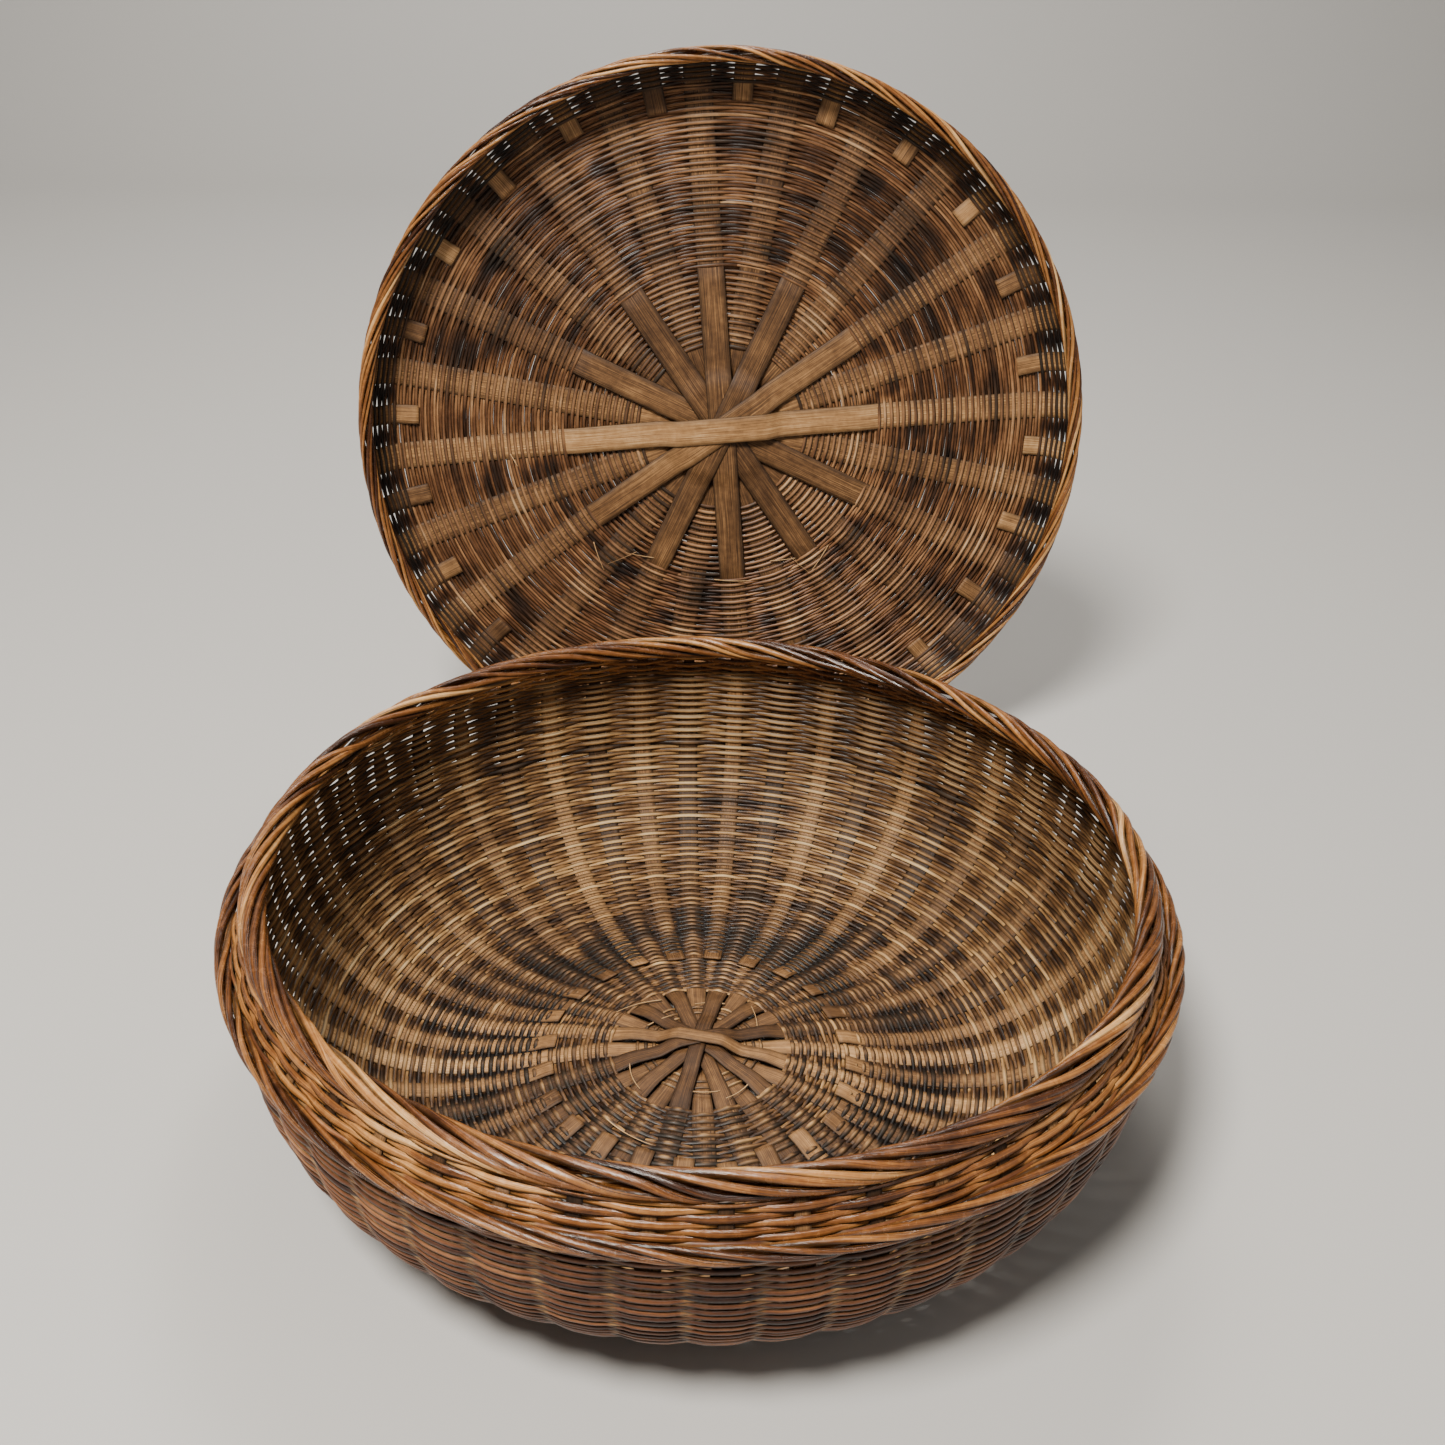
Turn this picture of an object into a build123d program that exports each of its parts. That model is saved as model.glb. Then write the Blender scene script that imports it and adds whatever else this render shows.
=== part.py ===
"""A covered basket of woven splints: a wide bowl, and its lid stood on edge behind it.

The origin is on the floor at the middle of the bowl, +Z is up, and the lid stands towards +Y.
Both are shells of one profile turned round an axis. A profile is a curve from the middle of the
base out to the border, and places on it are distances along it, in millimetres. Lift is the
distance off the curve, towards the inside. The lid is drawn lying on its crown, then stood up.
"""
import os
from math import asin, atan, cos, degrees, radians, sin, sqrt, tan

from build123d import *

# Stakes: six long splints in each of two layers cross in the middle, and make 24 arms
LAYER_STAKES = 6
ARM_PITCH = 180 / LAYER_STAKES / 2          # degrees between neighbouring arms
STAKE_THICKNESS = 0.9
STACK_PITCH = STAKE_THICKNESS + 0.05        # height each crossing stake adds to the stack
BLEND = 6.0                                 # distance in which a stake changes level
OVER = 1.7                                  # lift of the upper arms beside the centre rows
UNDER = -STACK_PITCH / 2                    # lift of the lower arms, which the centre rows bind
CENTRE_WEAVE = 3.2                          # thickness of the centre rows

# Bowl
BOWL_WEAVE = 4.4                            # thickness of the woven wall
BOWL_STAKE_WIDTH = 9.5
BOWL_ADDED_WIDTH = 7.5
BOWL_UPPER_ANGLE = -15.0                    # the topmost stake, from +X
BOWL_ORDER = [5, 4, 1, 3, 0, 2]             # place of each stake in its stack, round from there
KICK_UP = 12.0                              # height of the base in the middle
FOOT_RADIUS = 110.0
FOOT_SINK = 0.2                             # how much of the weave the floor flattens
SHOULDER_RADIUS = 195.5                     # middle of the wall at its widest
SHOULDER_HEIGHT = 99.5
CORNER_RADIUS = 9.0
LEDGE_LEAN = 29.0                           # degrees the ledge leans in from upright
LEDGE_LENGTH = 12.6
SHOULDER_ROPE = 3.5                         # radius of the rope round the shoulder
NECK_RIM = 5.8                              # radius of the thick border round the mouth
BOWL_CROSSING = 18.0                        # arms side by side are clear of each other from here
BOWL_CENTRE_ROWS = (24.4, 34.0)             # the few rows round the lower arms
BOWL_WEAVE_START = 40.5
BOWL_ADDED_START = 67.0
BOWL_TURN_START = 126.0                     # where the base begins to turn up
BOWL_WALL_START = 182.0                     # from here up the wall is steep

# Lid
LID_WEAVE = 4.2
LID_STAKE_WIDTH = 15.0
LID_ADDED_WIDTH = 11.0
LID_UPPER_ANGLE = 5.0
LID_ORDER = [5, 4, 3, 2, 1, 0]
LID_CROSSING = 29.0
LID_DEPTH = 25.5
LID_BORDER_RADIUS = 198.0                   # middle of the border, which is in the plane z = 0
LID_BORDER = 4.1
LID_CENTRE_ROWS = (46.0, 84.5)
LID_PANEL_START = 91.0
LID_ADDED_START = 172.0
LID_SKIRT_START = 184.0

# How the lid stands, and where it sits when it is on the bowl
LEAN = 7.4                                  # degrees back from upright
LID_ASIDE = 21.4                            # the lid's middle is this far towards +X
LID_BEHIND = 287.8
CLOSED_HEIGHT = 112.1
TOUCH = 0.05                                # gap left between pieces that touch
SKIN_GAP = 0.16                             # gap between a flat stake and the curved skins


def heading(lean):
    """The unit vector that leans `lean` degrees towards the axis from upright."""
    return Vector(-sin(radians(lean)), cos(radians(lean)))


def bowl_profile():
    low = BOWL_WEAVE / 2 - FOOT_SINK
    base = Spline((0, KICK_UP), (55, 9.2), (FOOT_RADIUS, low), tangents=[(1, 0), (1, 0)])
    wall = Spline(
        (FOOT_RADIUS, low), (149.5, 10.8), (172.2, 28.5), (186.6, 48.0), (193.4, 71.5),
        (SHOULDER_RADIUS, SHOULDER_HEIGHT),
        tangents=[(1, 0), (0, 1)],
    )
    corner = JernArc(wall @ 1, (0, 1), CORNER_RADIUS, LEDGE_LEAN)
    ledge = Line(corner @ 1, (corner @ 1) + heading(LEDGE_LEAN) * LEDGE_LENGTH)
    return Wire([base, wall, corner, ledge])


def lid_profile():
    end = LID_BORDER + TOUCH
    return Wire([Spline(
        (0, -LID_DEPTH), (90, -25.0), (170, -23.6), (185.6, -20.8), (193.6, -13.0),
        (LID_BORDER_RADIUS, -end),
        tangents=[(1, 0), (0.15, 1)],
    )])


def station(profile, distance, lift):
    """The point at a distance along a profile; a negative one is on the far side of the axis."""
    at = PositionMode.LENGTH
    point = profile.position_at(abs(distance), position_mode=at)
    ahead = profile.tangent_at(abs(distance), position_mode=at)
    side = -1 if distance < 0 else 1
    return Vector(side * (point.X - ahead.Y * lift), point.Y + ahead.X * lift)


def strip(profile, start, stop, thickness, lift=lambda distance: 0.0, step=4.0):
    """The outline of an even strip that follows a profile, in the XZ plane."""
    count = max(3, round((stop - start) / step))
    places = [start + (stop - start) * i / count for i in range(count + 1)]
    inner = Spline(*[station(profile, s, lift(s) + thickness / 2) for s in places])
    outer = Spline(*[station(profile, s, lift(s) - thickness / 2) for s in places])
    ends = [Line(inner @ 0, outer @ 0), Line(inner @ 1, outer @ 1)]
    return Plane.XZ * make_face([inner, outer, *ends])


def steps(levels):
    """A lift that holds each (until, level) in turn and then blends to the next one."""
    def lift(distance):
        reach = abs(distance)
        value = levels[0][1]
        for (until, level), (_, following) in zip(levels, levels[1:]):
            share = min(max((reach - until) / BLEND, 0.0), 1.0)
            value += (following - level) * share * share * (3 - 2 * share)
        return value
    return lift


def long_stakes(profile, length, width, angle, levels):
    """Six crossing stakes, each with its own list of lifts."""
    shapes = []
    for i, lifts in enumerate(levels):
        outline = strip(profile, -length, length, STAKE_THICKNESS, steps(lifts))
        splint = extrude(outline, amount=width / 2, both=True)
        shapes.append(Rot(Z=angle + 2 * ARM_PITCH * i) * splint)
    return shapes


def added_stakes(profile, start, length, width, angle):
    """One short stake in each space between two arms."""
    outline = strip(profile, start, length, STAKE_THICKNESS)
    splint = extrude(outline, amount=width / 2, both=True)
    count = 4 * LAYER_STAKES
    return [Rot(Z=angle + (i + 0.5) * ARM_PITCH) * splint for i in range(count)]


def weave(profile, start, stop, thickness, lift=0.0):
    """A woven ring: the skin of weavers inside the stakes, and the skin outside them."""
    gap = STAKE_THICKNESS / 2 + SKIN_GAP
    skin = thickness / 2 - gap
    middle = gap + skin / 2
    return [
        revolve(strip(profile, start, stop, skin, lambda distance: lift + side * middle), Axis.Z)
        for side in (1, -1)
    ]


def hoops(radius, height, bundle, count, first_angle):
    """The rods of a round border, side by side round the middle of its section."""
    rod = bundle / (1 + 1 / sin(radians(180 / count)))
    shapes = []
    for i in range(count):
        turn = radians(first_angle + 360 * i / count)
        off = (bundle - rod) * Vector(cos(turn), sin(turn))
        shapes.append(Pos(Z=height + off.Y) * Torus(radius + off.X, rod - TOUCH / 2))
    return shapes


def name_pieces(prefix, uppers, lowers, added, rings, borders):
    """Give every piece of one shell its name."""
    nodes = {f"{prefix}_added_stakes": Compound(added)}
    for i in range(LAYER_STAKES):
        nodes[f"{prefix}_upper_stake_{i + 1}"] = uppers[i]
        nodes[f"{prefix}_lower_stake_{i + 1}"] = lowers[i]
    for part, (inside, outside) in rings.items():
        nodes[f"{prefix}_{part}_weave_inside"] = inside
        nodes[f"{prefix}_{part}_weave_outside"] = outside
    for part, rods in borders.items():
        for i, rod in enumerate(rods):
            nodes[f"{prefix}_{part}_strand_{i + 1}"] = rod
    return nodes


def make_bowl():
    profile = bowl_profile()
    length = profile.length
    leave, stop = BOWL_CROSSING, BOWL_WEAVE_START - BLEND
    upper = [[(leave, OVER + k * STACK_PITCH), (stop, OVER), (stop, 0.0)] for k in BOWL_ORDER]
    lower = [[(leave, -(k + 0.5) * STACK_PITCH), (stop, UNDER), (stop, 0.0)] for k in BOWL_ORDER]
    width, first = BOWL_STAKE_WIDTH, BOWL_UPPER_ANGLE
    uppers = long_stakes(profile, length, width, first, upper)
    lowers = long_stakes(profile, length, width, first + ARM_PITCH, lower)
    added = added_stakes(profile, BOWL_ADDED_START, length, BOWL_ADDED_WIDTH, first)

    # The rope lies outside the corner of the shoulder, and the weave stops short of it
    corner = length - LEDGE_LENGTH - CORNER_RADIUS * radians(LEDGE_LEAN) / 2
    off = STAKE_THICKNESS / 2 + SHOULDER_ROPE + TOUCH
    rope = station(profile, corner, -off)
    beside = sqrt((SHOULDER_ROPE + 4 * TOUCH) ** 2 - (off - BOWL_WEAVE / 2) ** 2)
    rim = (profile @ 1) + heading(LEDGE_LEAN) * (NECK_RIM + TOUCH)

    rings = {
        "centre": weave(profile, *BOWL_CENTRE_ROWS, CENTRE_WEAVE, UNDER),
        "base": weave(profile, BOWL_WEAVE_START, BOWL_TURN_START - TOUCH, BOWL_WEAVE),
        "turn": weave(profile, BOWL_TURN_START, BOWL_WALL_START - TOUCH, BOWL_WEAVE),
        "wall": weave(profile, BOWL_WALL_START, corner - beside, BOWL_WEAVE),
        "shoulder": weave(profile, corner + beside, length - TOUCH, BOWL_WEAVE),
    }
    floor = Pos(Z=-50) * Box(500, 500, 100)
    rings["base"][1] -= floor
    borders = {
        "shoulder": hoops(rope.X, rope.Y, SHOULDER_ROPE, 3, 0),
        "rim": hoops(rim.X, rim.Y, NECK_RIM, 4, 90 + LEDGE_LEAN),
    }
    print(f"bowl: rope at {rope.X:.1f}, {rope.Y:.1f}; rim at {rim.X:.1f}, {rim.Y:.1f}")
    return name_pieces("bowl", uppers, lowers, added, rings, borders)


def make_lid():
    profile = lid_profile()
    length = profile.length
    leave, stop = LID_CROSSING, LID_PANEL_START - BLEND
    upper = [[(leave, OVER + k * STACK_PITCH), (stop, OVER), (stop, 0.0)] for k in LID_ORDER]
    lower = [[(leave, -(k + 0.5) * STACK_PITCH), (stop, UNDER), (stop, 0.0)] for k in LID_ORDER]
    width, first = LID_STAKE_WIDTH, LID_UPPER_ANGLE
    uppers = long_stakes(profile, length, width, first, upper)
    lowers = long_stakes(profile, length, width, first + ARM_PITCH, lower)
    added = added_stakes(profile, LID_ADDED_START, length, LID_ADDED_WIDTH, first)
    rings = {
        "centre": weave(profile, *LID_CENTRE_ROWS, CENTRE_WEAVE, UNDER),
        "panel": weave(profile, LID_PANEL_START, LID_SKIRT_START - TOUCH, LID_WEAVE),
        "skirt": weave(profile, LID_SKIRT_START, length - TOUCH, LID_WEAVE),
    }
    borders = {"border": hoops(LID_BORDER_RADIUS, 0, LID_BORDER, 4, 0)}
    return name_pieces("lid", uppers, lowers, added, rings, borders)


def lid_centre():
    """The middle of the standing lid's border, with the border's lowest rod on the floor."""
    rod = LID_BORDER / (1 + sqrt(2))
    height = (LID_BORDER_RADIUS + LID_BORDER - rod) * cos(radians(LEAN)) + rod - TOUCH / 2
    return Vector(LID_ASIDE, LID_BEHIND, height)


def print_turn(centre):
    """Print the one turn that carries the lid from where it stands to its place on the bowl.

    The lid is round, so it may spin about its own axis on the way. The spin is the one that
    makes the move a plain rotation, with no slide along the rotation's axis.
    """
    half = radians(90 + LEAN) / 2
    move = centre - Vector(0, 0, CLOSED_HEIGHT)
    spin = atan(-move.X * sin(half) / (move.Y * sin(half) + move.Z * cos(half)))
    axis = Vector(cos(spin) * sin(half), sin(spin) * sin(half), sin(spin) * cos(half))
    turn = 2 * asin(axis.length)
    axis = axis.normalized()
    middle = (centre + Vector(0, 0, CLOSED_HEIGHT)) / 2
    pole = middle - axis.cross(move) / 2 / tan(turn / 2)
    print("lid turn: pole", [round(v / 1000, 5) for v in pole], "m")
    print("axis", [round(v, 5) for v in axis], f"angle {degrees(turn):.3f} degrees")


bowl = make_bowl()
lid = make_lid()
stand = Pos(lid_centre()) * Rot(X=90 - LEAN)
print_turn(lid_centre())

os.makedirs("parts", exist_ok=True)
for name, shape in bowl.items():
    export_step(shape, f"parts/{name}.step")
for name, shape in lid.items():
    export_step(stand * shape, f"parts/{name}.step")
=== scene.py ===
"""The looks of a covered splint basket, woven strand by strand round its CAD frame.

The bowl and the lid are shells, each one profile turned round an axis. A place on a shell is an
angle round the axis, a distance along the profile from the middle, and a lift off the profile
towards the inside, all in millimetres until a mesh is made. Weavers, stakes and rods are tubes
whose middle lines are given in those three numbers.
"""
import math

import bpy
import numpy as np
from mathutils import Matrix, Vector


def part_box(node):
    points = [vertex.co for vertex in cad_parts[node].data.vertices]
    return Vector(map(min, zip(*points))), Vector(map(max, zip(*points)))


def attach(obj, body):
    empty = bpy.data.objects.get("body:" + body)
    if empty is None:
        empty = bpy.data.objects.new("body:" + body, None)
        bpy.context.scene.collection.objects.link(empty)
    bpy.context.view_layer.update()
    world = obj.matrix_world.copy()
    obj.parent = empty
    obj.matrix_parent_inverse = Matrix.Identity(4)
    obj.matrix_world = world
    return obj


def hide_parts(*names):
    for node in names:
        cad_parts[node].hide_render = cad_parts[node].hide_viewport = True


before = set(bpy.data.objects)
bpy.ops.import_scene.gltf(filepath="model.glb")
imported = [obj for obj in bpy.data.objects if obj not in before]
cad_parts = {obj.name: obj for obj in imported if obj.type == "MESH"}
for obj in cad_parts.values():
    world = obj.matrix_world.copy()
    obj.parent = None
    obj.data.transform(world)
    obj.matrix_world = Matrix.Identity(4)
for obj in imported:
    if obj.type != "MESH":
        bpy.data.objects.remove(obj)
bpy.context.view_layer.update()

MM = 0.001
TAU = 2 * math.pi
STAKES = 6                      # long stakes in each of the two layers
ARMS_IN_LAYER = 2 * STAKES
ARMS = 2 * ARMS_IN_LAYER
RIBS = 2 * ARMS                 # arms and added stakes together
STAKE = 0.9                     # thickness of a stake
STACK = 0.95                    # height each crossing stake adds in the middle
LEAN = math.radians(7.4)        # the standing lid leans back this far
MIDDLE_HEIGHT = 12.0            # of the raised middle of the bowl's base
FOOT = (110, 2.0)               # radius and height of the bowl's lowest ring
SHOULDER = (195.5, 99.5)        # radius and height of the bowl's wall at its widest
CORNER = 9.0                    # radius of the shoulder's corner
LEDGE_LEAN = math.radians(29.0)
LEDGE = 12.6                    # length of the ledge from the corner to the neck
SHOULDER_ROPE = 3.5             # radius of each bundle of rods
NECK_RIM = 5.8
LID_BORDER = 4.1
LID_RADIUS = 198.0
BACK_RISE = 2.5                 # the bowl is a little warped: the back of its rim stands higher
RISE_REACH = 190                # distance behind the axis where the rise is full
RISE_FROM, RISE_OVER = 106, 8   # the rise starts at this height, above the shoulder rope
rng = np.random.default_rng(7)


def share(value, start, reach):
    """How far value has come from start, as a share of reach held between 0 and 1."""
    return np.clip((value - start) / reach, 0, 1)


def ease(x):
    """A smooth step from 0 to 1."""
    return x * x * (3 - 2 * x)


def hill(value, middle, reach):
    """1 at the middle, and about a third at reach from it."""
    return np.exp(-((value - middle) / reach) ** 2)


# ---------------------------------------------------------------- shells

def spline(points, start, end):
    """Samples of a smooth curve through points, with given directions at its ends."""
    p = np.array(points, float)
    h = np.linalg.norm(np.diff(p, axis=0), axis=1)
    system = np.eye(len(p))
    slopes = np.zeros_like(p)
    slopes[0], slopes[-1] = start, end
    for i in range(1, len(p) - 1):
        system[i, i - 1:i + 2] = h[i], 2 * (h[i - 1] + h[i]), h[i - 1]
        before, after = (p[i] - p[i - 1]) / h[i - 1], (p[i + 1] - p[i]) / h[i]
        slopes[i] = 3 * (h[i] * before + h[i - 1] * after)
    m = np.linalg.solve(system, slopes)
    u = np.linspace(0, 1, 60, endpoint=False)[:, None]
    samples = [
        (1 + 2 * u) * (1 - u) ** 2 * p[i] + u * (1 - u) ** 2 * length * m[i]
        + u * u * (3 - 2 * u) * p[i + 1] + u * u * (u - 1) * length * m[i + 1]
        for i, length in enumerate(h)
    ]
    return np.concatenate(samples + [p[-1:]])


class Shell:
    """A profile turned round an axis, and where that axis stands."""

    def __init__(self, profile, matrix, rise=0.0):
        self.points = profile
        self.rise = rise
        runs = np.linalg.norm(np.diff(profile, axis=0), axis=1)
        self.distance = np.concatenate([[0], np.cumsum(runs)])
        self.length = self.distance[-1]
        ahead = np.gradient(profile, self.distance, axis=0)
        self.ahead = ahead / np.linalg.norm(ahead, axis=1)[:, None]
        self.matrix = np.array(matrix)

    def flat(self, s):
        """Radius, height and the profile's direction at distances s."""
        reach = np.abs(s)
        r, z = (np.interp(reach, self.distance, self.points[:, i]) for i in (0, 1))
        tr, tz = (np.interp(reach, self.distance, self.ahead[:, i]) for i in (0, 1))
        return r, z, tr, tz

    def at(self, angle, s, lift, aside=0.0):
        """Points in the world, in metres. aside is across a stake, square to its line."""
        r, z, tr, tz = self.flat(s)
        radius, height = r - tz * lift, z + tr * lift
        side = np.where(s < 0, -1.0, 1.0)
        x, y = side * radius * np.cos(angle), side * radius * np.sin(angle)
        return self.place(x - aside * np.sin(angle), y + aside * np.cos(angle), height)

    def place(self, x, y, height):
        """World points, in metres, of points in the shell's own frame."""
        risen = self.rise * share(y, 0, RISE_REACH) ** 2 * share(height, RISE_FROM, RISE_OVER)
        local = np.stack(np.broadcast_arrays(x, y, height + risen), axis=-1) * MM
        return local @ self.matrix[:3, :3].T + self.matrix[:3, 3]


def bowl_profile():
    base = spline([(0, MIDDLE_HEIGHT), (55, 9.2), FOOT], (1, 0), (1, 0))
    outline = [FOOT, (149.5, 10.8), (172.2, 28.5), (186.6, 48.0), (193.4, 71.5), SHOULDER]
    wall = spline(outline, (1, 0), (0, 1))
    turn = np.linspace(0, LEDGE_LEAN, 12)[1:]
    arc = np.stack([np.cos(turn) - 1, np.sin(turn)], axis=1)
    corner = np.array(SHOULDER) + CORNER * arc
    ledge = corner[-1] + LEDGE * np.array([[-math.sin(LEDGE_LEAN), math.cos(LEDGE_LEAN)]])
    return np.concatenate([base[:-1], wall, corner, ledge])


def lid_profile():
    edge = (LID_RADIUS, -LID_BORDER - 0.05)
    outline = [(0, -25.5), (90, -25.0), (170, -23.6), (185.6, -20.8), (193.6, -13.0), edge]
    flare = np.array([0.15, 1])
    return spline(outline, (1, 0), flare / math.hypot(*flare))


def middle(node):
    low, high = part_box(node)
    return (Vector(low) + Vector(high)) / 2


bowl = Shell(bowl_profile(), Matrix.Identity(4), BACK_RISE)
upright = Matrix.Rotation(math.pi / 2 - LEAN, 4, "X")
lid = Shell(lid_profile(), Matrix.Translation(middle("lid_border_strand_1")) @ upright)


# ---------------------------------------------------------------- meshes

def tube_faces(count, stations, section, closed):
    """Faces of equal tubes, closed into rings or with a cap at each end."""
    index = np.arange(count * stations * section).reshape(count, stations, section)
    here = index if closed else index[:, :-1]
    ahead = np.roll(index, -1, axis=1) if closed else index[:, 1:]
    corners = [here, np.roll(here, -1, axis=2), np.roll(ahead, -1, axis=2), ahead]
    faces = np.stack(corners, axis=-1).reshape(-1, 4).tolist()
    if not closed:
        faces += index[:, 0, ::-1].tolist() + index[:, -1].tolist()
    return faces


def tubes(name, rings, closed, tone, worn, along):
    """An object of tubes. rings is (tubes, stations, section, 3), the rest one value a station."""
    count, stations, section, _ = rings.shape
    faces = tube_faces(count, stations, section, closed)
    mesh = bpy.data.meshes.new(name)
    mesh.from_pydata(rings.reshape(-1, 3).tolist(), [], faces)
    around = np.broadcast_to(np.arange(section) / section, rings.shape[:3])
    strand = np.broadcast_to(rng.random((count, 1, 1)), rings.shape[:3])
    by_station = {"tone": tone, "worn": worn, "along": along * MM}
    values = {k: np.broadcast_to(v[..., None], rings.shape[:3]) for k, v in by_station.items()}
    values |= {"around": around, "strand": strand}
    for key, value in values.items():
        layer = mesh.attributes.new(key, "FLOAT", "POINT")
        layer.data.foreach_set("value", np.ascontiguousarray(value, np.float32).ravel())
    mesh.shade_smooth()
    piece = bpy.data.objects.new(name, mesh)
    bpy.context.scene.collection.objects.link(piece)
    return piece


def dress(piece, material, body, slot, *nodes):
    """Give a piece its finish, the body it rides on and the CAD nodes it stands for."""
    piece.data.materials.append(material)
    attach(piece, body)
    if nodes:
        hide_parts(*nodes)


def skins(ring):
    """The CAD nodes of one woven ring: its skins inside and outside the stakes."""
    return [f"{ring}_weave_inside", f"{ring}_weave_outside"]


def strands(ring, count):
    """The CAD nodes of the rods in one twisted ring."""
    return [f"{ring}_strand_{i + 1}" for i in range(count)]


def ring_middle(nodes):
    """Radius and height, in millimetres, of the middle of a bundle of hoops about the bowl's axis."""
    boxes = [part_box(node) for node in nodes]
    half = [(high[2] - low[2]) / 2 for low, high in boxes]
    radius = sum(high[0] - h for (_, high), h in zip(boxes, half)) / len(nodes)
    height = sum(low[2] + high[2] for low, high in boxes) / len(nodes) / 2
    return radius / MM, height / MM


def smooth_noise(shape, cells):
    """Smooth values about zero on a (rows, columns) grid that closes round its columns."""
    rows, columns = shape
    down, across = cells
    grid = rng.standard_normal((down + 2, across))
    y = np.linspace(0, down, rows)
    x = np.linspace(0, across, columns, endpoint=False)
    yi, xi = y.astype(int), x.astype(int)
    yf, xf = ease(y - yi)[:, None], ease(x - xi)[None]
    a, b = grid[yi][:, xi], grid[yi][:, (xi + 1) % across]
    c, d = grid[yi + 1][:, xi], grid[yi + 1][:, (xi + 1) % across]
    return (a * (1 - xf) + b * xf) * (1 - yf) + (c * (1 - xf) + d * xf) * yf


# ---------------------------------------------------------------- weaving

ROW_WANDER, ROW_JITTER = 0.10, 0.06       # how far a row strays, in shares of the pitch
BULGE, FLATTEN = 0.15, 0.18               # outside a stake a weaver swings wider and lies flatter
LIFT_NOISE = 0.09
SIZE_SPREAD = 0.06
ROW_SHADE, STREAK_SHADE = 0.09, 0.07

LEVEL_BLEND = 12.0                        # length over which a stake changes its height
STAKE_STEP = 2.0                          # length of a stake's segments
WAIST = 36                                # half length of the shaved middle of a stake
TIP, TIP_BLEND = 26, 10                   # a stake narrows this far from its end, over 10 mm
DARK_FROM, DARK_OVER = 45, 60             # where a stake darkens outwards
# across and through a stake, in half widths and half thicknesses
STAKE_SECTION = [(-1, 0), (-0.95, 0.8), (-0.6, 1), (0, 1.05), (0.6, 1), (0.95, 0.8),
                 (1, 0), (0.95, -0.8), (0.6, -1), (0, -1.0), (-0.6, -1), (-0.95, -0.8)]

ROPE_SECTION, ROPE_STATIONS = 8, 1200


def weave(name, shell, start, stop, pitch, ribs, first, size, swing, tone, parity=0, per_rib=8,
          section=6, middle_lift=0.0):
    """Rows of weavers that pass over and under the ribs by turns. Returns the object.

    first is the angle of a rib, size the half width and half thickness of a weaver, swing how
    far its middle line goes to either side, and tone a function of (angle, distance, side).
    """
    rows = max(1, round((stop - start) / pitch))
    pitch = (stop - start) / rows
    stations = ribs * per_rib
    shape = (rows, stations)
    angle = np.arange(stations) / stations * TAU
    row = np.arange(rows)[:, None]
    turn = np.cos((angle - first) * ribs / 2)[None] * np.where((row + parity) % 2, -1.0, 1.0)
    outside = np.clip(-1.2 * turn, 0, 1)
    side = np.clip(turn, 0, 1) ** 2.2 - outside
    wander = smooth_noise(shape, (max(2, rows // 3), ribs))
    jitter = rng.standard_normal((rows, 1))
    s = start + (row + 0.5) * pitch + (ROW_WANDER * wander + ROW_JITTER * jitter) * pitch
    lift = middle_lift + swing * side * (1 + BULGE * outside)
    lift += LIFT_NOISE * smooth_noise(shape, (rows, ribs))
    theta = np.arange(section) / section * TAU + math.pi / section
    own_width = SIZE_SPREAD * rng.standard_normal((rows, 1))
    half_width = size[0] * (1 + FLATTEN * outside + own_width)
    half_thick = size[1] * (1 + SIZE_SPREAD * rng.standard_normal((rows, 1)))
    across = half_width[..., None] * np.cos(theta)
    through = half_thick[..., None] * np.sin(theta)
    rings = shell.at(angle[None, :, None], s[..., None] + across, lift[..., None] + through)
    streak = STREAK_SHADE * smooth_noise(shape, (rows, ribs))
    own_shade = ROW_SHADE * rng.standard_normal((rows, 1))
    shade = tone(angle[None] + 0 * s, s, side) + own_shade + streak
    along = np.abs(angle - math.pi)[None] * shell.flat(s)[0]
    return tubes(name, rings, True, shade, side, along)


def level(s, steps):
    """Lifts along a stake: each (until, lift) holds and then blends to the next."""
    reach = np.abs(s)
    value = np.full_like(reach, steps[0][1], dtype=float)
    for (until, here), (_, following) in zip(steps, steps[1:]):
        value += (following - here) * ease(share(reach, until, LEVEL_BLEND))
    return value


def splint(shell, angle, start, stop, width, steps, waist=0.0, tip=0.0):
    """Distances and rings of one flat stake, from start to stop along its line.

    steps are its lifts, as level takes them. waist and tip are the shares of its width that are
    shaved off near the middle of the shell and near its edge.
    """
    s = np.linspace(start, stop, max(4, round((stop - start) / STAKE_STEP)))
    slim = share(np.abs(s), shell.length - TIP, TIP_BLEND)
    half_width = width / 2 * (1 - waist * np.exp(-(s / WAIST) ** 6) - tip * slim)[:, None]
    across, through = np.array(STAKE_SECTION).T
    lift = level(s, steps)[:, None] + through[None] * STAKE / 2
    return s, shell.at(angle, s[:, None] + 0 * lift, lift, across[None] * half_width)


def place_splints(name, runs, tones, darker_out=0.0):
    """One object from the (s, rings) of several equal stakes, which may darken outwards."""
    s = np.stack([run[0] for run in runs])
    rings = np.stack([run[1] for run in runs])
    tone = np.array(tones)[:, None] - darker_out * share(np.abs(s), DARK_FROM, DARK_OVER)
    return tubes(name, rings, False, tone, 0 * s, s)


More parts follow.
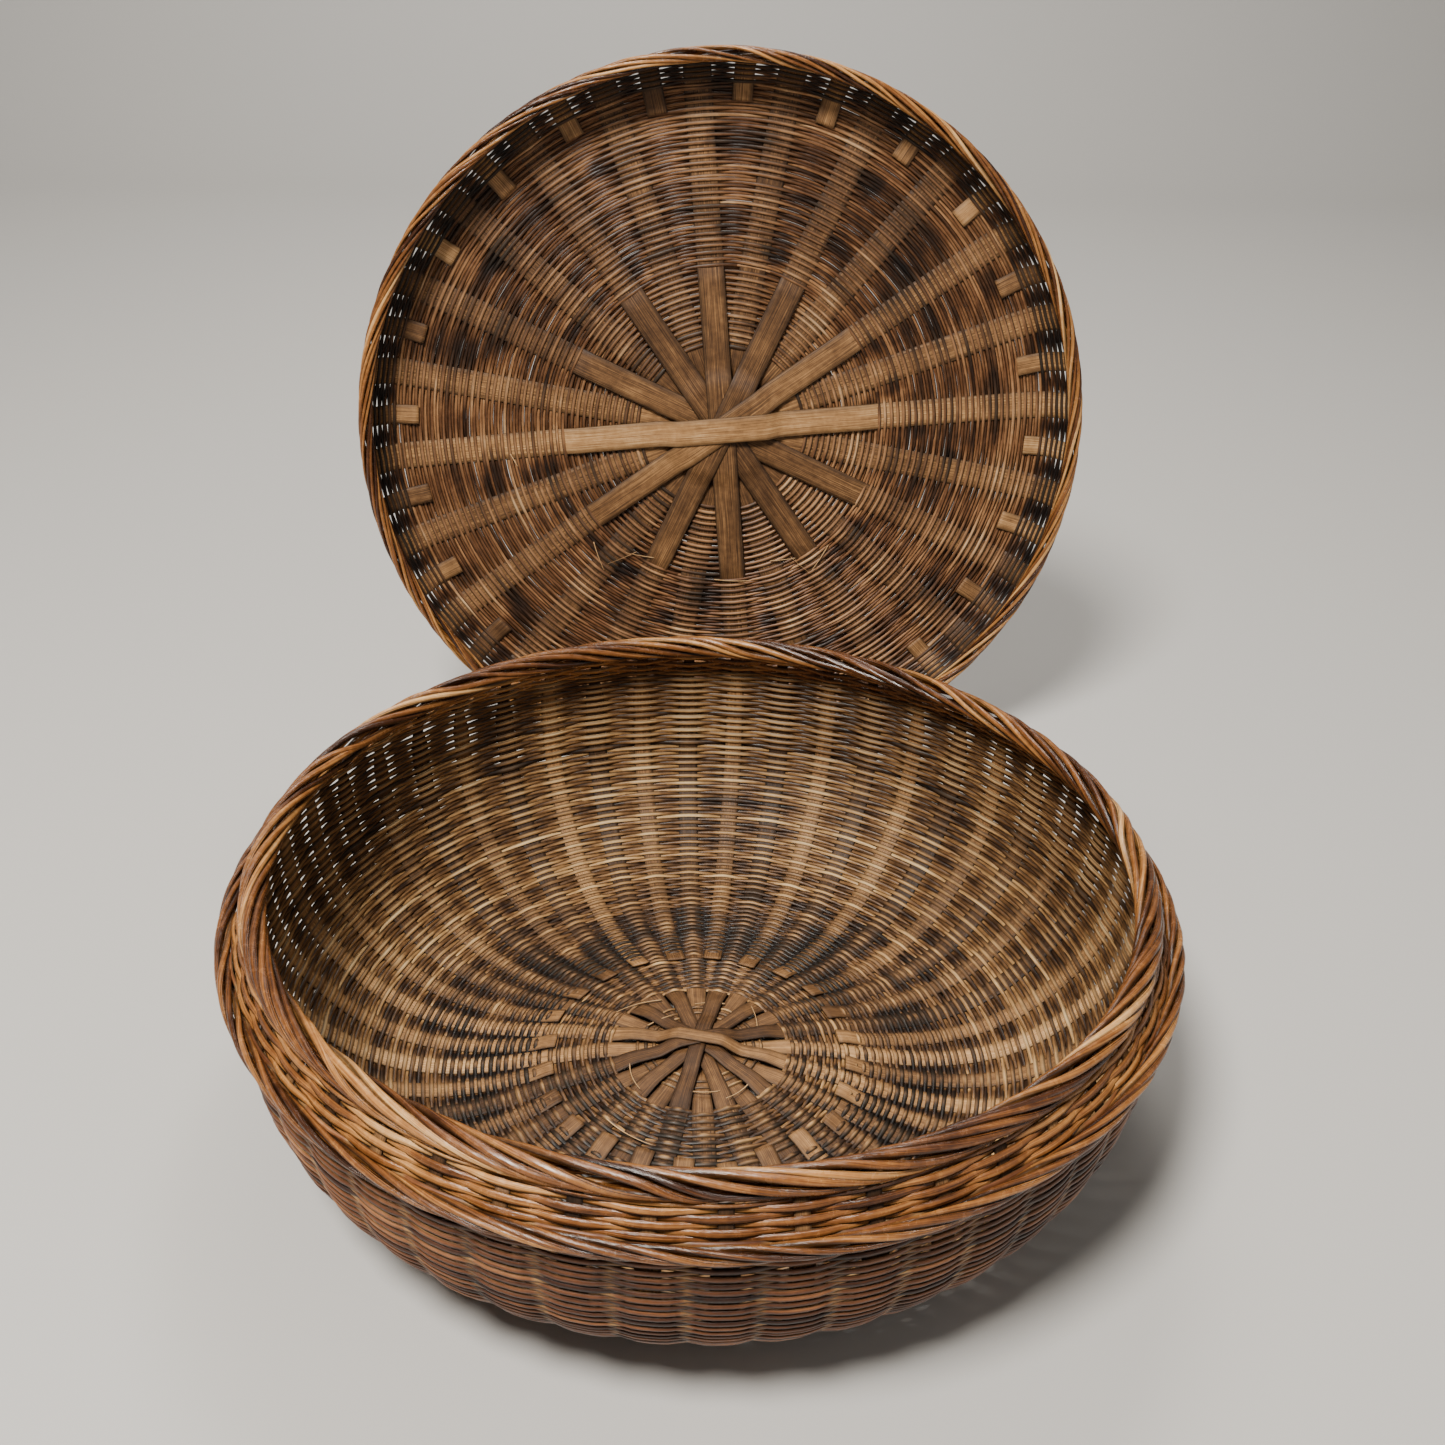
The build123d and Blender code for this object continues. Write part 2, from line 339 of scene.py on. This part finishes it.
def rope(name, shell, radius, height, bundle, rods, turns, tone):
    """Rods twisted round each other in a ring whose middle line has that radius and height."""
    rod = bundle / (1 + 1 / math.sin(math.pi / rods))
    shape = (rods, ROPE_STATIONS)
    angle = np.arange(ROPE_STATIONS) / ROPE_STATIONS * TAU
    strand = np.arange(rods)[:, None]
    taper = smooth_noise(shape, (rods, 14))
    thick = rod * (1 + 0.06 * rng.standard_normal((rods, 1)) + 0.07 * taper)
    waver = smooth_noise(shape, (rods, 36))
    theta = strand / rods * TAU - turns * angle[None] + 0.24 * waver
    sunk = 0.05 * np.abs(smooth_noise(shape, (rods, 30)))
    off = bundle * (1 - sunk) - thick
    phi = theta[..., None] + TAU / 4 + np.arange(ROPE_SECTION) / ROPE_SECTION * TAU
    r = radius + (off * np.cos(theta))[..., None] + thick[..., None] * np.cos(phi)
    z = height + (off * np.sin(theta))[..., None] + thick[..., None] * np.sin(phi)
    rings = shell.place(r * np.cos(angle)[None, :, None], r * np.sin(angle)[None, :, None], z)
    shade = tone + 0.15 * rng.standard_normal((rods, 1)) + 0.10 * taper
    along = np.abs(angle - math.pi)[None] * radius + 0 * theta
    return tubes(name, rings, True, shade, 0 * theta, along)


def loose_ends(name, shell, places):
    """Thin ends of broken weavers that stand off the weave.

    Each place is an angle in degrees and a distance, then how far the end runs along the weave,
    outwards and off it.
    """
    t = np.linspace(0, 1, 12)[:, None]
    turn = np.linspace(0, TAU, 6, endpoint=False)
    thin = 0.42 * (1 - 0.5 * t)
    rings = []
    for degrees, distance, along, out, rise in places:
        angle = math.radians(degrees) + along * t / distance
        high = 1.5 + rise * t ** 1.5 + thin * np.sin(turn)
        rings.append(shell.at(angle, distance + out * t + thin * np.cos(turn), high))
    rings = np.stack(rings)
    run = np.broadcast_to(30 * t[:, 0], rings.shape[:2])
    return tubes(name, rings, False, 0.9 + 0 * run, 0 * run, run)


# ---------------------------------------------------------------- materials

# how far the edges of every strand darken: grime, and painted shade in the grooves between strands
EDGE_GRIME_AND_SHADE = 0.85
GRAIN_SCALE, BLOTCH_SCALE, SPECK_SCALE, DUST_SCALE = 2.2, 22.0, 260.0, 70.0
DUST = (0.36, 0.27, 0.18, 1.0)


class Nodes:
    """A short way to build a node tree."""

    def __init__(self, name):
        self.material = bpy.data.materials.new(name)
        self.material.use_nodes = True
        self.tree = self.material.node_tree
        self.shader = self.tree.nodes["Principled BSDF"]

    def new(self, kind, inputs=None, **settings):
        node = self.tree.nodes.new(kind)
        for key, value in settings.items():
            setattr(node, key, value)
        for key, value in (inputs or {}).items():
            self.join(value, node.inputs[key])
        return node

    def join(self, value, socket):
        if isinstance(value, bpy.types.NodeSocket):
            self.tree.links.new(value, socket)
        else:
            socket.default_value = value

    def math(self, operation, a, b=0.0, c=0.0, clamp=False):
        node = self.new("ShaderNodeMath", {0: a, 1: b, 2: c}, operation=operation, use_clamp=clamp)
        return node.outputs[0]

    def attribute(self, name):
        return self.new("ShaderNodeAttribute", attribute_name=name).outputs["Fac"]

    def noise(self, vector, scale, detail, roughness):
        inputs = {"Vector": vector, "Scale": scale, "Detail": detail, "Roughness": roughness}
        return self.new("ShaderNodeTexNoise", inputs).outputs["Fac"]

    def vary(self, noise, amount, base, clamp=False):
        """base, made up to half of amount higher or lower by a noise about a half."""
        return self.math("MULTIPLY_ADD", self.math("SUBTRACT", noise, 0.5), amount, base, clamp)

    def ramp(self, factor, stops):
        node = self.new("ShaderNodeValToRGB", {"Fac": factor})
        elements = node.color_ramp.elements
        while len(elements) < len(stops):
            elements.new(1.0)
        for element, (place, colour) in zip(elements, stops):
            element.position = place
            element.color = (*colour, 1.0)
        return node.outputs["Color"]

    def mix(self, factor, a, b, blend="MIX"):
        node = self.new("ShaderNodeMix", data_type="RGBA", blend_type=blend)
        for index, value in ((0, factor), (6, a), (7, b)):
            self.join(value, node.inputs[index])
        return node.outputs[2]


def splint_material(name, stops, outer_stops, dust, gloss, fibre, grain_depth, contrast=0.75,
                    shine=0.32):
    """Bamboo: colour from each strand's tone, fibres along it, grime and painted shade along its
    edges.

    outer_stops are the colours of a weaver's outer face where it passes outside a stake, and
    dust is how much dust lies where it passes inside. fibre is how fine the fibres are across a
    strand, contrast their share of the tone, and shine the strength of the reflections.
    """
    n = Nodes(name)
    tone, worn = n.attribute("tone"), n.attribute("worn")
    along, around, strand = (n.attribute(k) for k in ("along", "around", "strand"))
    turned = n.math("MULTIPLY", around, TAU)
    own = n.math("MULTIPLY", strand, 60.0)
    grain_vector = n.new("ShaderNodeCombineXYZ", {
        "X": n.math("MULTIPLY", along, 14.0),
        "Y": n.math("MULTIPLY_ADD", n.math("COSINE", turned), fibre, own),
        "Z": n.math("MULTIPLY", n.math("SINE", turned), fibre),
    }).outputs[0]
    grain = n.noise(grain_vector, GRAIN_SCALE, 4.0, 0.65)
    place = n.new("ShaderNodeTexCoord").outputs["Object"]
    blotch = n.noise(place, BLOTCH_SCALE, 3.0, 0.6)
    speck = n.noise(place, SPECK_SCALE, 2.0, 0.6)
    shade = n.vary(blotch, 0.5, n.vary(grain, contrast, tone))
    shade = n.vary(speck, 0.25, shade, clamp=True)
    outside = n.math("MULTIPLY", worn, -3.0, clamp=True)
    outwards = n.math("MULTIPLY_ADD", n.math("SINE", turned), -2.0, 0.6, clamp=True)
    outer = n.math("MULTIPLY", outside, outwards)
    colour = n.mix(outer, n.ramp(shade, stops), n.ramp(shade, outer_stops))
    # darker edges round each strand: grime, and painted shade in the grooves between strands
    edge = n.math("POWER", n.math("ABSOLUTE", n.math("COSINE", turned)), 3.0)
    grime = n.math("MULTIPLY_ADD", edge, -EDGE_GRIME_AND_SHADE, 1.0)
    colour = n.mix(1.0, colour, grime, "MULTIPLY")
    settled = n.noise(place, DUST_SCALE, 4.0, 0.7)
    proud = n.math("MULTIPLY", n.math("MAXIMUM", worn, 0.0), settled)
    dusty = n.math("MULTIPLY", proud, dust, clamp=True)
    n.join(n.mix(dusty, colour, DUST), n.shader.inputs["Base Color"])
    rough = n.math("MULTIPLY_ADD", speck, 0.25, gloss)
    n.join(n.math("MULTIPLY_ADD", dusty, 0.4, rough, clamp=True), n.shader.inputs["Roughness"])
    bump = n.new("ShaderNodeBump", {"Height": grain, "Strength": 0.6, "Distance": grain_depth})
    n.join(bump.outputs["Normal"], n.shader.inputs["Normal"])
    n.shader.inputs["Specular IOR Level"].default_value = shine
    return n.material


BOWL_BROWN = [
    (0.0, (0.006, 0.004, 0.003)), (0.25, (0.035, 0.016, 0.008)), (0.48, (0.19, 0.092, 0.034)),
    (0.70, (0.46, 0.26, 0.10)), (1.0, (0.80, 0.55, 0.27)),
]
OUTER_BROWN = [
    (0.0, (0.010, 0.004, 0.002)), (0.25, (0.038, 0.012, 0.005)), (0.5, (0.135, 0.046, 0.016)),
    (0.75, (0.31, 0.125, 0.046)), (1.0, (0.54, 0.29, 0.13)),
]
LID_BROWN = [
    (0.0, (0.007, 0.004, 0.003)), (0.28, (0.034, 0.014, 0.006)), (0.5, (0.135, 0.055, 0.021)),
    (0.75, (0.36, 0.175, 0.072)), (1.0, (0.68, 0.45, 0.24)),
]
ROD_BROWN = [
    (0.0, (0.010, 0.003, 0.001)), (0.3, (0.055, 0.017, 0.005)), (0.52, (0.22, 0.078, 0.019)),
    (0.75, (0.50, 0.225, 0.062)), (1.0, (0.80, 0.50, 0.22)),
]
FLAT_BROWN = [
    (0.0, (0.010, 0.005, 0.002)), (0.3, (0.055, 0.025, 0.010)), (0.5, (0.155, 0.074, 0.028)),
    (0.75, (0.42, 0.220, 0.085)), (1.0, (0.70, 0.46, 0.23)),
]

bowl_weaver = splint_material(
    "bowl_weaver", BOWL_BROWN, OUTER_BROWN, dust=0.18, gloss=0.28, fibre=1.2, grain_depth=0.0002)
lid_weaver = splint_material(
    "lid_weaver", LID_BROWN, OUTER_BROWN, dust=0.14, gloss=0.28, fibre=1.2, grain_depth=0.0002)
border_rod = splint_material(
    "border_rod", ROD_BROWN, ROD_BROWN, dust=0.0, gloss=0.12, fibre=1.6, grain_depth=0.0003,
    contrast=0.85, shine=0.55)
flat_splint = splint_material(
    "flat_splint", FLAT_BROWN, FLAT_BROWN, dust=0.0, gloss=0.42, fibre=9.0, grain_depth=0.0003,
    contrast=1.15)


# ---------------------------------------------------------------- tones

BOWL_FIRST = math.radians(-15.0)          # line of each shell's first long stake
LID_FIRST = math.radians(5.0)
CHARCOAL_AND_SHADE_RING = (92, 36)                  # distance and reach of the charcoal streaks and painted shade on the bowl's base
LIT_WALL_SIDE = (TAU / 4, 0.75)             # angle and reach of the painted light on the bowl's back wall
LIT_WALL_BAND = (195, 50)                   # its distance and reach
BASE_EDGE, BASE_FADE = 130, 40            # the bowl's base is darker up to here
LID_TURN = (184, 3)                       # where the lid's dark skirt begins: a stain and painted shade inside


def patches(length, columns, rows, seed):
    """A tone map of soft dark and light patches on a shell, by angle and distance."""
    grid = np.random.default_rng(seed).standard_normal((rows, columns))

    def value(angle, s):
        x = (angle / TAU * columns) % columns
        y = np.clip(s / length * (rows - 1), 0, rows - 1.001)
        xi, yi = x.astype(int), y.astype(int)
        xf, yf = ease(x - xi), y - yi
        near, far = xi % columns, (xi + 1) % columns
        low = grid[yi, near] * (1 - xf) + grid[yi, far] * xf
        high = grid[yi + 1, near] * (1 - xf) + grid[yi + 1, far] * xf
        return low * (1 - yf) + high * yf
    return value


bowl_fine, bowl_coarse = patches(bowl.length, 48, 14, 3), patches(bowl.length, 9, 6, 4)
lid_fine, lid_coarse = patches(lid.length, 48, 18, 5), patches(lid.length, 8, 6, 6)


def gap(angle, first, ribs):
    """0 on a rib, and 1 half way between two."""
    return 0.5 - 0.5 * np.cos((angle - first) * ribs)


def bowl_tone(angle, s, side):
    """Golden brown, with charcoal streaks and painted shade between the ribs of the base and thin
    ones up the wall, dirt and painted shade where the weavers cross or pass outside the stakes,
    painted light on the back wall, and a darker base.
    """
    fine, coarse = bowl_fine(angle, s), bowl_coarse(angle, s)
    base = hill(s, *CHARCOAL_AND_SHADE_RING)
    # darker between the ribs than on them: painted shade where the weavers dive under, and dirt
    between = 0.25 + 0.75 * gap(angle, BOWL_FIRST, RIBS)
    uneven = np.clip(0.75 + 0.9 * fine + 0.5 * coarse, 0, 1.4)
    charcoal = (1.15 * base + 0.25) * between * uneven
    inside = np.clip(side + 0.6, 0, 1)
    # painted light on the bowl's back wall
    lit_back_wall = hill(angle, *LIT_WALL_SIDE) * hill(s, *LIT_WALL_BAND)
    # charcoal stains and painted shade, only where a weaver passes inside, and fainter under the back
    # wall's painted light
    burnt_and_shaded = (0.60 * charcoal + 0.10 * base) * inside * (1 - 0.5 * lit_back_wall)
    # brighter where a weaver lies proud, darker where it crosses a stake: dirt and painted shade
    crossing_dirt_and_shade = 0.13 * np.abs(side) - 0.10
    darker_base = 0.06 * np.clip((BASE_EDGE - s) / BASE_FADE, 0, 1)
    plain = 0.63 + 0.06 * coarse + 0.05 * fine + crossing_dirt_and_shade - darker_base
    # the back wall's painted light adds to it; where a weaver passes outside a stake it is darker,
    # dirt and painted shade between the ribs
    return plain + 0.15 * lit_back_wall * inside - burnt_and_shaded - 0.16 * (1 - inside)


def lid_tone(angle, s, side):
    """Dark orange brown, with short charcoal marks, dirt and painted shade where the weavers cross or
    dive behind the stakes, and a dark skirt inside, a stain and painted shade.
    """
    fine, coarse = lid_fine(angle, s), lid_coarse(angle, s)
    mark = np.clip(fine - 0.25, 0, 1.0)
    # brighter where a weaver lies proud, darker where it crosses a stake: dirt and painted shade
    crossing_dirt_and_shade = 0.14 * np.abs(side) - 0.10
    # the skirt's inside: a dark stain and painted shade under the border
    skirt = share(s, *LID_TURN) * np.clip(side + 1, 0, 1)
    # painted shade where a weaver dives behind a stake
    hidden_shade = 0.07 * np.clip(-side, 0, 1)
    return 0.60 + 0.08 * coarse + 0.06 * fine + crossing_dirt_and_shade - hidden_shade - 0.36 * mark - 0.40 * skirt


def shoulder_tone(angle, s, side):
    return 0.54 + 0.10 * bowl_coarse(angle, s) + 0.06 * side


# ---------------------------------------------------------------- stakes of either shell

UPPER_LIFT = 1.7                          # of the lowest upper stake at the crossing


def long_stakes(part, shell, first, width, order, core, bare, lifts, tones, darker_out=(0,) * STAKES,
                shaved=(0.0, 0.0)):
    """The upper and the lower long stakes of a shell, which cross in its middle.

    order is each stake's place in the pile. A stake keeps that place as far as core, lies at its
    layer's lift as far as bare, and then runs among the weavers. lifts and tones are for the
    upper and the lower layer.
    """
    for i, place in enumerate(order):
        piled = (UPPER_LIFT + place * STACK, -(place + 0.5) * STACK)
        for half, layer in enumerate(("upper", "lower")):
            angle = first + (i + half / 2) * TAU / ARMS_IN_LAYER
            steps = [(core, piled[half]), (bare, lifts[half]), (bare, 0.0)]
            run = splint(shell, angle, -shell.length, shell.length, width, steps, *shaved)
            node = f"{part}_{layer}_stake_{i + 1}"
            piece = place_splints(node + "_splint", [run], [tones[half][i]], darker_out[i])
            dress(piece, flat_splint, part, "splint_stakes", node)


def added_stakes(part, shell, first, start, stagger, tab, width, tone, tone_spread, tip=0.0):
    """The short stakes half way between the arms, whose tabs lie on the weave as far as tab."""
    steps = [(tab, 1.6), (tab, 0.0)]
    runs = []
    for i in range(ARMS):
        angle = first + (i + 0.5) * TAU / ARMS
        begin = start + stagger * rng.random()
        runs.append(splint(shell, angle, begin, shell.length, width, steps, tip=tip))
    count = min(len(s) for s, _ in runs)
    runs = [(s[:count], rings[:count]) for s, rings in runs]
    tones = tone + tone_spread * rng.standard_normal(ARMS)
    piece = place_splints(f"{part}_added_splints", runs, tones)
    dress(piece, flat_splint, part, "splint_stakes", f"{part}_added_stakes")


# ---------------------------------------------------------------- the bowl

BOWL_PITCH = 1.86
BOWL_WEAVER = (1.17, 0.60)                # half width and half thickness
BOWL_SWING = STAKE / 2 + 0.58
BOWL_ORDER = [5, 4, 1, 3, 0, 2]
BOWL_TONES = ([0.58, 0.37, 0.41, 0.34, 0.39, 0.37], [0.64, 0.50, 0.43, 0.45, 0.41, 0.50])
BOWL_DARKER_OUT = [-0.16] + [0.18] * 5    # the first stake is paler outwards
LEDGE_PITCH = 2.35
LEDGE_WEAVER = (1.4, 0.58)
# angle in degrees, distance, and the runs along the weave, outwards and off it
BOWL_ENDS = [
    (200, 34, 16, 6, 2), (150, 27, -13, -5, 1.5), (250, 30, 18, 2, 1), (310, 33, -14, 5, 2.5),
    (65, 31, 15, -4, 1), (20, 29, 12, 6, 2), (118, 36, 20, 8, 2), (225, 60, 26, 4, 2),
]


def weave_bowl():
    """The rows of the base and the wall, and the thicker ones of the ledge."""
    corner = bowl.length - LEDGE - CORNER * LEDGE_LEAN / 2
    bands = [
        ("bowl_base_rows_inner", 40.5, 71.5, ARMS, 12, skins("bowl_base")),
        ("bowl_base_rows_middle", 71.5, 99.0, RIBS, 8, []),
        ("bowl_base_rows_outer", 99.0, 126.0, RIBS, 8, []),
        ("bowl_wall_rows_low", 126.0, 163.0, RIBS, 8, skins("bowl_turn")),
        ("bowl_wall_rows_middle", 163.0, 200.0, RIBS, 8, []),
        ("bowl_wall_rows_high", 200.0, corner + 2.5, RIBS, 8, skins("bowl_wall")),
    ]
    done = 0
    for name, start, stop, ribs, per_rib, nodes in bands:
        rows = weave(name, bowl, start, stop, BOWL_PITCH, ribs, BOWL_FIRST, BOWL_WEAVER,
                     BOWL_SWING, bowl_tone, parity=done, per_rib=per_rib)
        done += round((stop - start) / BOWL_PITCH)
        dress(rows, bowl_weaver, "bowl", "bowl_weavers", *nodes)
    ledge = weave("bowl_shoulder_rows", bowl, corner + 2.0, bowl.length + 0.8, LEDGE_PITCH, RIBS,
                  BOWL_FIRST, LEDGE_WEAVER, BOWL_SWING, shoulder_tone, section=8)
    dress(ledge, border_rod, "bowl", "bowl_weavers", *skins("bowl_shoulder"))


def bowl_rope(name, nodes, bundle, rods, turns):
    radius, height = ring_middle(nodes)
    ring = rope(name, bowl, radius, height, bundle, rods, turns, 0.50)
    dress(ring, border_rod, "bowl", "border_rods", *nodes)


def make_bowl():
    weave_bowl()
    long_stakes("bowl", bowl, BOWL_FIRST, 10.2, BOWL_ORDER, core=9, bare=30, lifts=(1.9, -0.5),
                tones=BOWL_TONES, darker_out=BOWL_DARKER_OUT, shaved=(0.26, 0.45))
    added_stakes("bowl", bowl, BOWL_FIRST, start=65.5, stagger=4, tab=68, width=9.2,
                 tone=0.47, tone_spread=0.09, tip=0.4)
    few = weave("bowl_centre_rows", bowl, 20.0, 30.0, 2.0, ARMS_IN_LAYER, BOWL_FIRST + TAU / ARMS,
                (0.8, 0.5), BOWL_SWING, bowl_tone, per_rib=16, middle_lift=-0.5)
    dress(few, bowl_weaver, "bowl", "bowl_weavers", *skins("bowl_centre"))
    ends = loose_ends("bowl_loose_ends", bowl, BOWL_ENDS)
    dress(ends, flat_splint, "bowl", "bowl_weavers")
    bowl_rope("bowl_shoulder_rope", strands("bowl_shoulder", 3), SHOULDER_ROPE, rods=5, turns=11)
    bowl_rope("bowl_rim", strands("bowl_rim", 4), NECK_RIM, rods=8, turns=8)


# ---------------------------------------------------------------- the lid

LID_PITCH = 1.72
LID_WEAVER = (1.06, 0.52)                 # half width and half thickness
LID_SWING = STAKE / 2 + 0.52
LID_ORDER = [5, 4, 3, 2, 1, 0]
LID_TONES = ([0.70, 0.56, 0.41, 0.44, 0.38, 0.44], [0.54, 0.44, 0.40, 0.42, 0.40, 0.54])
# angle in degrees, distance, and the runs along the weave, outwards and off it
LID_ENDS = [
    (236, 88, -9, 15, 4), (243, 86, -16, 5, 5), (291, 84, 14, 4, 3), (299, 87, 5, 14, 3),
    (268, 90, 22, 2, 2), (313, 94, -16, 6, 2), (187, 122, 7, -3, 3), (222, 100, 15, 8, 2),
]


def weave_lid():
    """The rows behind the bare upper stakes, then those of the panel and the skirt."""
    bands = [
        ("lid_centre_rows", 46.0, 92.0, ARMS_IN_LAYER, 20, LID_FIRST + TAU / ARMS, -0.9,
         skins("lid_centre")),
        ("lid_panel_rows_inner", 90.2, 137.0, ARMS, 14, LID_FIRST, 0.0, skins("lid_panel")),
        ("lid_panel_rows_outer", 137.0, 183.0, ARMS, 14, LID_FIRST, 0.0, []),
        ("lid_skirt_rows", 183.0, lid.length + 0.5, RIBS, 8, LID_FIRST, 0.0, skins("lid_skirt")),
    ]
    for name, start, stop, ribs, per_rib, rib, lift, nodes in bands:
        rows = weave(name, lid, start, stop, LID_PITCH, ribs, rib, LID_WEAVER, LID_SWING, lid_tone,
                     per_rib=per_rib, middle_lift=lift)
        dress(rows, lid_weaver, "lid", "lid_weavers", *nodes)


def make_lid():
    weave_lid()
    long_stakes("lid", lid, LID_FIRST, 15.0, LID_ORDER, core=24, bare=82, lifts=(1.5, -0.9),
                tones=LID_TONES)
    added_stakes("lid", lid, LID_FIRST, start=171.0, stagger=5, tab=176, width=11.0,
                 tone=0.54, tone_spread=0.08)
    ends = loose_ends("lid_loose_ends", lid, LID_ENDS)
    dress(ends, flat_splint, "lid", "lid_weavers")
    border = rope("lid_border", lid, LID_RADIUS, 0.0, LID_BORDER, 9, 10, 0.48)
    dress(border, border_rod, "lid", "border_rods", *strands("lid_border", 4))


make_bowl()
make_lid()


# ---------------------------------------------------------------- floor, light, camera

# name, place, aim, size, power, colour
LIGHTS = [
    ("rim", (0.15, 0.8, 1.5), (0.0, -0.12, 0.1), 0.4, 5, (1.0, 0.95, 0.88)),
    ("key", (-0.5, -0.75, 1.7), (0, 0.08, 0.08), 0.5, 66, (1.0, 0.96, 0.90)),
    ("fill", (1.3, -0.8, 1.0), (0, 0.1, 0.1), 1.2, 3, (1.0, 0.97, 0.93)),
    ("backdrop", (0.0, 1.35, 2.0), (0.0, 2.3, 0.1), 1.2, 26, (1.0, 0.98, 0.95)),
]
ROOM_COLOUR, ROOM_LIGHT = (1.0, 0.97, 0.93, 1), 0.14
CAMERA_PLACE = (-0.0284, -0.5444, 0.5037)
CAMERA_YAW, CAMERA_PITCH, CAMERA_ROLL = 0.064, 0.529, 0.028
CAMERA_LENS, CAMERA_SENSOR = 38.87, 36.0


def make_floor():
    """A pale floor that curves up into a wall well behind the object."""
    front, reach, bend, height, half_width = -4.0, 1.9, 0.6, 2.6, 4.0
    turn = np.linspace(0, math.pi / 2, 17)
    curve = [(reach + bend * math.sin(a), bend * (1 - math.cos(a))) for a in turn]
    line = [(front, 0.0)] + curve + [(reach + bend, height)]
    points = [(x, y, z) for y, z in line for x in (-half_width, half_width)]
    faces = [(2 * i, 2 * i + 1, 2 * i + 3, 2 * i + 2) for i in range(len(line) - 1)]
    mesh = bpy.data.meshes.new("floor")
    mesh.from_pydata(points, [], faces)
    mesh.shade_smooth()
    floor = bpy.data.objects.new("floor", mesh)
    bpy.context.scene.collection.objects.link(floor)
    n = Nodes("floor_finish")
    n.shader.inputs["Base Color"].default_value = (0.52, 0.505, 0.48, 1)
    n.shader.inputs["Roughness"].default_value = 0.6
    floor.data.materials.append(n.material)


def area_light(name, place, aim, size, power, colour):
    data = bpy.data.lights.new(name, "AREA")
    data.shape, data.size, data.energy, data.color = "DISK", size, power, colour
    light = bpy.data.objects.new(name, data)
    light.location = place
    light.rotation_euler = (Vector(aim) - Vector(place)).to_track_quat("-Z", "Y").to_euler()
    bpy.context.scene.collection.objects.link(light)


def make_room():
    """The even light that comes from all round."""
    world = bpy.data.worlds.new("room")
    world.use_nodes = True
    background = world.node_tree.nodes["Background"]
    background.inputs["Color"].default_value = ROOM_COLOUR
    background.inputs["Strength"].default_value = ROOM_LIGHT
    bpy.context.scene.world = world


def make_camera():
    """The camera at the photo's angle, which looks down along the bowl and the lid."""
    across, along = math.sin(CAMERA_YAW), math.cos(CAMERA_YAW)
    level_share, down = math.cos(CAMERA_PITCH), math.sin(CAMERA_PITCH)
    ahead = Vector((across * level_share, along * level_share, -down))
    level_right = Vector((along, -across, 0))
    level_up = level_right.cross(ahead)
    right = math.cos(CAMERA_ROLL) * level_right + math.sin(CAMERA_ROLL) * level_up
    up = math.cos(CAMERA_ROLL) * level_up - math.sin(CAMERA_ROLL) * level_right
    data = bpy.data.cameras.new("camera")
    data.lens, data.sensor_width = CAMERA_LENS, CAMERA_SENSOR
    camera = bpy.data.objects.new("camera", data)
    turn = Matrix((right, up, -ahead)).transposed().to_4x4()
    camera.matrix_world = Matrix.Translation(CAMERA_PLACE) @ turn
    bpy.context.scene.collection.objects.link(camera)
    bpy.context.scene.camera = camera


make_floor()
for light in LIGHTS:
    area_light(*light)
make_room()
make_camera()
